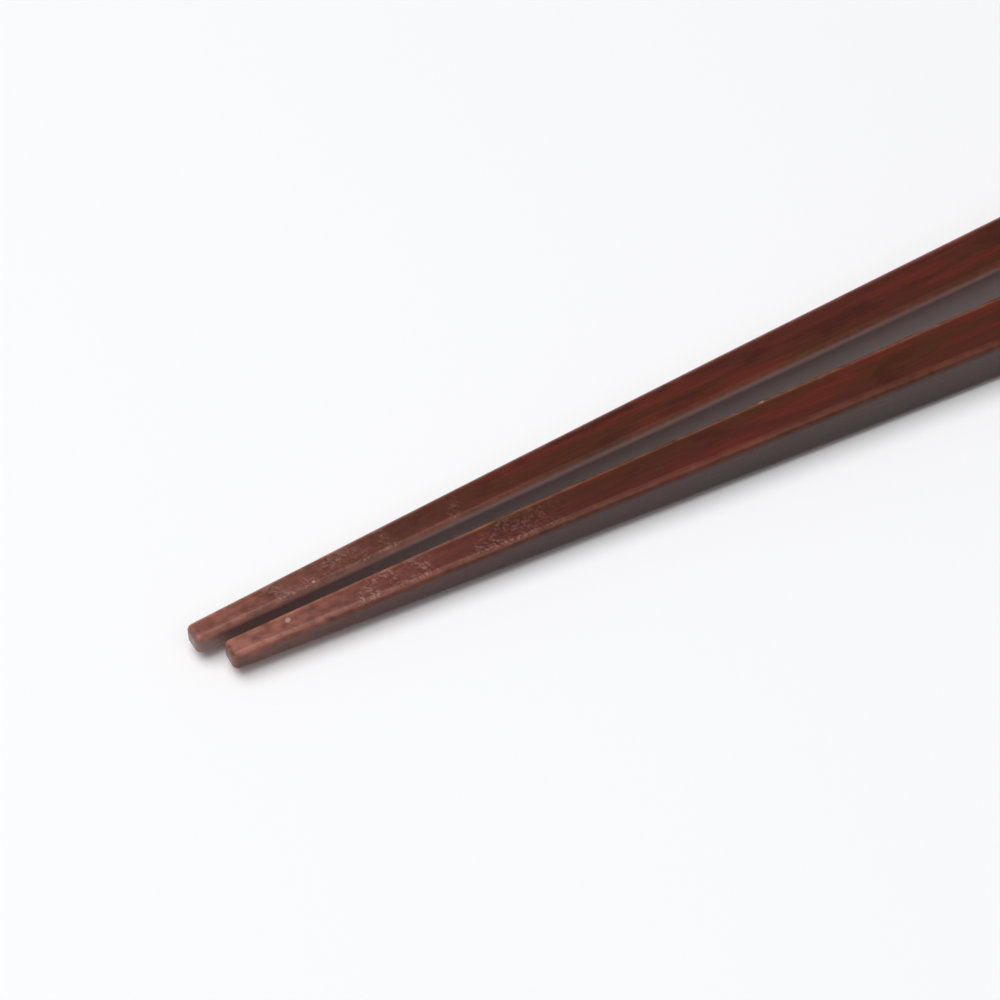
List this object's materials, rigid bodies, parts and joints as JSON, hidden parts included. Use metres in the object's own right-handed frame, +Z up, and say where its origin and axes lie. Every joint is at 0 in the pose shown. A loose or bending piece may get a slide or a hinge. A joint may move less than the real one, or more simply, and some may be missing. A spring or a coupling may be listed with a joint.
{
  "type": "pair of chopsticks",
  "caption": "Pair of square, slim wooden eating sticks with rounded edges, bowed taper and flat ends, lying side by side in a narrow V with tips close together.",
  "frame": {"origin": "bottom centre of the pair's box, on the table the sticks lie on", "axes": "+X from the tips to the heads along the middle of the pair, +Y across to the back stick, +Z up"},
  "size_m": [0.2274, 0.0252, 0.0084],
  "materials": {
    "lacquered_wood": "clear satin lacquer over red-brown hardwood, roughened near the tips"
  },
  "bodies": {
    "root": {"front_chopstick": "lacquered_wood", "back_chopstick": "lacquered_wood"}
  },
  "joints": []
}
